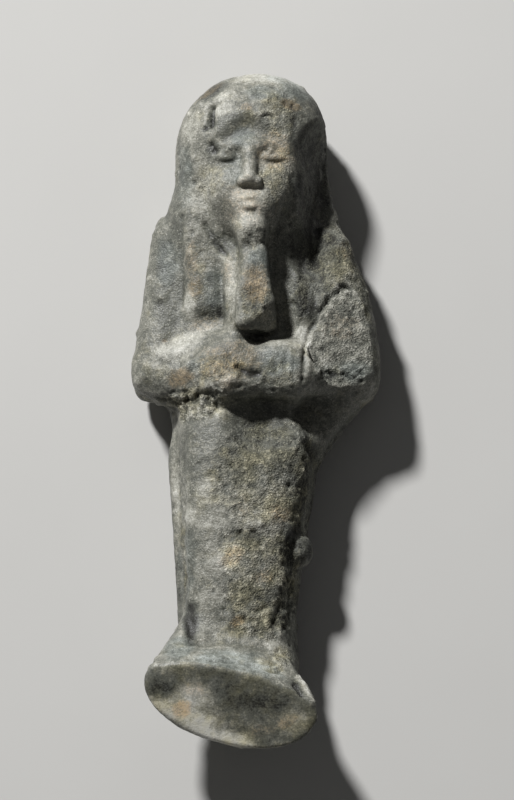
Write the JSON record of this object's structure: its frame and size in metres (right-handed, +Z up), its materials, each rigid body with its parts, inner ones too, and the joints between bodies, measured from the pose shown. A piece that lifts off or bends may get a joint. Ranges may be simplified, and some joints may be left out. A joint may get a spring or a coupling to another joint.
{
  "type": "shabti figurine",
  "caption": "Small moulded funerary figure of a wrapped body with folded arms, plain wig and beard, in worn grey-green glazed ware, lying on its flat back.",
  "frame": {"origin": "centre of the figure's box in x and y, at the level of its flat back, which lies on the ground", "axes": "+Y runs from the feet to the head, +Z points up out of the face, and +X is to the viewer's right"},
  "size_m": [0.0374, 0.1036, 0.0204],
  "materials": {
    "worn_glaze": "matte, with worn grey-green glaze, pale buff and orange-brown stains and a granular broken patch"
  },
  "bodies": {
    "root": {"shabti": "worn_glaze"}
  },
  "joints": []
}
